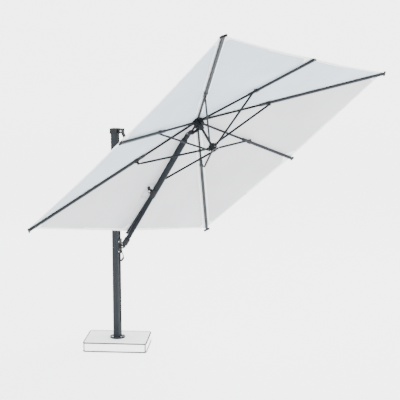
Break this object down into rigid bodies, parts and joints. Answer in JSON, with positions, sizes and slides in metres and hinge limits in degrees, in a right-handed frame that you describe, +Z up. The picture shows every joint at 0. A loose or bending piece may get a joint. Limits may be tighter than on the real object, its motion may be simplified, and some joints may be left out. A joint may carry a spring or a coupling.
{
  "type": "cantilever parasol",
  "caption": "Square cantilever parasol on a free-standing mast, with a sliding boom, a swinging and leaning ribbed canopy, and a flat slab base",
  "frame": {"origin": "on the ground under the mast's axis", "axes": "+Z up, the boom and its linkage in the XZ plane with the boom's head towards +X"},
  "size_m": [3.1335, 3.2096, 3.5793],
  "materials": {
    "frame_paint": "fine textured anthracite powder coat",
    "black_plastic": "satin glass-filled nylon",
    "steel_pins": "plain stainless",
    "canopy_cloth": "light grey woven polyester",
    "slab": "pale cast stone, lightly textured"
  },
  "bodies": {
    "base": {"base_slab": "slab", "base_socket": "frame_paint", "socket_bolts": "steel_pins"},
    "mast": {"mast_spindle": "frame_paint", "mast_profile": "frame_paint", "mast_cap": "black_plastic", "mast_head_pin": "steel_pins"},
    "link": {"link_arm": "frame_paint"},
    "boom_sleeves": {"boom_collar": "black_plastic", "collar_pin": "steel_pins", "boom_heel": "black_plastic"},
    "carriage": {"carriage_body": "black_plastic", "carriage_shoe": "black_plastic", "carriage_pins": "steel_pins"},
    "lever": {"lock_lever": "black_plastic"},
    "boom": {"boom_tube": "frame_paint", "boom_head": "frame_paint", "tilt_pin": "steel_pins"},
    "crown": {"crown_hub": "black_plastic", "rib_pins": "steel_pins", "hub_bracket": "frame_paint", "centre_post": "frame_paint", "crown_finial": "black_plastic", "canopy": "canopy_cloth"},
    "runner": {"runner": "black_plastic", "runner_pins": "steel_pins"},
    "rib_a": {"rib_a_inner": "frame_paint", "rib_a_outer": "frame_paint", "rib_a_fittings": "black_plastic"},
    "strut_a": {"strut_a": "frame_paint"},
    "rib_b": {"rib_b_inner": "frame_paint", "rib_b_outer": "frame_paint", "rib_b_fittings": "black_plastic"},
    "strut_b": {"strut_b": "frame_paint"},
    "rib_c": {"rib_c_inner": "frame_paint", "rib_c_outer": "frame_paint", "rib_c_fittings": "black_plastic"},
    "strut_c": {"strut_c": "frame_paint"},
    "rib_d": {"rib_d_inner": "frame_paint", "rib_d_outer": "frame_paint", "rib_d_fittings": "black_plastic"},
    "strut_d": {"strut_d": "frame_paint"},
    "rib_ab": {"rib_ab_inner": "frame_paint", "rib_ab_outer": "frame_paint", "rib_ab_fittings": "black_plastic"},
    "strut_ab": {"strut_ab": "frame_paint"},
    "rib_bc": {"rib_bc_inner": "frame_paint", "rib_bc_outer": "frame_paint", "rib_bc_fittings": "black_plastic"},
    "strut_bc": {"strut_bc": "frame_paint"},
    "rib_cd": {"rib_cd_inner": "frame_paint", "rib_cd_outer": "frame_paint", "rib_cd_fittings": "black_plastic"},
    "strut_cd": {"strut_cd": "frame_paint"},
    "rib_da": {"rib_da_inner": "frame_paint", "rib_da_outer": "frame_paint", "rib_da_fittings": "black_plastic"},
    "strut_da": {"strut_da": "frame_paint"}
  },
  "joints": [
    {"name": "mast_swivel", "type": "hinge", "parent": "base", "child": "mast", "pos_m": [0, 0, 0.121], "axis": [0, 0, 1], "continuous": true},
    {"name": "boom_swing", "type": "hinge", "parent": "mast", "child": "link", "pos_m": [0.085, 0, 2.48], "axis": [0, 1, 0], "range_deg": [-40.7, 4]},
    {"name": "boom_lean", "type": "hinge", "parent": "link", "child": "boom_sleeves", "pos_m": [0.42953, 0, 1.827], "axis": [0, 1, 0], "range_deg": [-9, 82]},
    {"name": "carriage_pivot", "type": "hinge", "parent": "boom_sleeves", "child": "carriage", "pos_m": [0.085, 0, 1.174], "axis": [0, 1, 0], "range_deg": [-41, 4.5]},
    {"name": "lock_lever", "type": "hinge", "parent": "carriage", "child": "lever", "pos_m": [0.053, 0, 1.112], "axis": [0, -1, 0], "range_deg": [0, 40]},
    {"name": "boom_roll", "type": "hinge", "parent": "boom_sleeves", "child": "boom", "pos_m": [0.085, 0, 1.174], "axis": [0.5255, 0, 0.8508], "range_deg": [-13.5, 16.5]},
    {"name": "canopy_fold", "type": "hinge", "parent": "boom", "child": "crown", "pos_m": [0.8916, 0, 2.48], "axis": [0.2431, 0.9583, -0.1501], "range_deg": [0, 72], "deforming": ["canopy"]},
    {"name": "rib_a_root", "type": "hinge", "parent": "crown", "child": "rib_a", "pos_m": [0.94384, 0.03172, 2.59348], "axis": [0.3566, -0.7387, 0.5719], "range_deg": [-0.2, 74.7]},
    {"name": "strut_a_knuckle", "type": "hinge", "parent": "rib_a", "child": "strut_a", "pos_m": [0.52671, -0.47093, 2.20435], "axis": [0.3566, -0.7387, 0.5719], "range_deg": [-149.4, 0.4]},
    {"name": "rib_b_root", "type": "hinge", "parent": "crown", "child": "rib_b", "pos_m": [0.99458, 0.02585, 2.6382], "axis": [0.7004, 0.6166, 0.3596], "range_deg": [-0.2, 74.7]},
    {"name": "strut_b_knuckle", "type": "hinge", "parent": "rib_b", "child": "strut_b", "pos_m": [1.36174, -0.56744, 2.94029], "axis": [0.7004, 0.6166, 0.3596], "range_deg": [-149.4, 0.4]},
    {"name": "rib_c_root", "type": "hinge", "parent": "crown", "child": "rib_c", "pos_m": [1.01108, 0.09091, 2.628], "axis": [-0.3566, 0.7387, -0.5719], "range_deg": [-0.2, 74.7]},
    {"name": "strut_c_knuckle", "type": "hinge", "parent": "rib_c", "child": "strut_c", "pos_m": [1.63331, 0.50323, 2.77257], "axis": [-0.3566, 0.7387, -0.5719], "range_deg": [-149.4, 0.4]},
    {"name": "rib_d_root", "type": "hinge", "parent": "crown", "child": "rib_d", "pos_m": [0.96034, 0.09677, 2.58329], "axis": [-0.7004, -0.6166, -0.3596], "range_deg": [-0.2, 74.7]},
    {"name": "strut_d_knuckle", "type": "hinge", "parent": "rib_d", "child": "strut_d", "pos_m": [0.79827, 0.59974, 2.03663], "axis": [-0.7004, -0.6166, -0.3596], "range_deg": [-149.4, 0.4]},
    {"name": "rib_ab_root", "type": "hinge", "parent": "crown", "child": "rib_ab", "pos_m": [0.99176, 0.00388, 2.58698], "axis": [0.7474, -0.0864, 0.6587], "range_deg": [-0.2, 74.7]},
    {"name": "strut_ab_knuckle", "type": "hinge", "parent": "rib_ab", "child": "strut_ab", "pos_m": [0.91395, -0.75236, 2.57609], "axis": [0.7474, -0.0864, 0.6587], "range_deg": [-149.4, 0.4]},
    {"name": "rib_bc_root", "type": "hinge", "parent": "crown", "child": "rib_bc", "pos_m": [1.0393, 0.04573, 2.6114], "axis": [0.2431, 0.9583, -0.1501], "range_deg": [-0.2, 74.7]},
    {"name": "strut_bc_knuckle", "type": "hinge", "parent": "rib_bc", "child": "strut_bc", "pos_m": [1.69643, -0.06353, 2.97789], "axis": [0.2431, 0.9583, -0.1501], "range_deg": [-149.4, 0.4]},
    {"name": "rib_cd_root", "type": "hinge", "parent": "crown", "child": "rib_cd", "pos_m": [1.0151, 0.09588, 2.57257], "axis": [-0.7474, 0.0864, -0.6587], "range_deg": [-0.2, 74.7]},
    {"name": "strut_cd_knuckle", "type": "hinge", "parent": "rib_cd", "child": "strut_cd", "pos_m": [1.298, 0.76179, 2.3389], "axis": [-0.7474, 0.0864, -0.6587], "range_deg": [-149.4, 0.4]},
    {"name": "rib_da_root", "type": "hinge", "parent": "crown", "child": "rib_da", "pos_m": [0.96755, 0.05402, 2.54816], "axis": [-0.2431, -0.9583, 0.1501], "range_deg": [-0.2, 74.7]},
    {"name": "strut_da_knuckle", "type": "hinge", "parent": "rib_da", "child": "strut_da", "pos_m": [0.51552, 0.07295, 1.93711], "axis": [-0.2431, -0.9583, 0.1501], "range_deg": [-149.4, 0.4]},
    {"name": "runner_hinge", "type": "hinge", "parent": "strut_da", "child": "runner", "pos_m": [1.17265, -0.03631, 2.3036], "axis": [-0.2431, -0.9583, 0.1501], "range_deg": [-0.2, 74.7]}
  ],
  "couplings": [
    {"joint": "boom_lean", "follows": "boom_swing", "ratio": -2},
    {"joint": "carriage_pivot", "follows": "boom_swing", "ratio": 1},
    {"joint": "rib_a_root", "follows": "canopy_fold", "ratio": 1.0333},
    {"joint": "strut_a_knuckle", "follows": "canopy_fold", "ratio": -2.0667},
    {"joint": "rib_b_root", "follows": "canopy_fold", "ratio": 1.0333},
    {"joint": "strut_b_knuckle", "follows": "canopy_fold", "ratio": -2.0667},
    {"joint": "rib_c_root", "follows": "canopy_fold", "ratio": 1.0333},
    {"joint": "strut_c_knuckle", "follows": "canopy_fold", "ratio": -2.0667},
    {"joint": "rib_d_root", "follows": "canopy_fold", "ratio": 1.0333},
    {"joint": "strut_d_knuckle", "follows": "canopy_fold", "ratio": -2.0667},
    {"joint": "rib_ab_root", "follows": "canopy_fold", "ratio": 1.0333},
    {"joint": "strut_ab_knuckle", "follows": "canopy_fold", "ratio": -2.0667},
    {"joint": "rib_bc_root", "follows": "canopy_fold", "ratio": 1.0333},
    {"joint": "strut_bc_knuckle", "follows": "canopy_fold", "ratio": -2.0667},
    {"joint": "rib_cd_root", "follows": "canopy_fold", "ratio": 1.0333},
    {"joint": "strut_cd_knuckle", "follows": "canopy_fold", "ratio": -2.0667},
    {"joint": "rib_da_root", "follows": "canopy_fold", "ratio": 1.0333},
    {"joint": "strut_da_knuckle", "follows": "canopy_fold", "ratio": -2.0667},
    {"joint": "runner_hinge", "follows": "canopy_fold", "ratio": 1.0333}
  ]
}
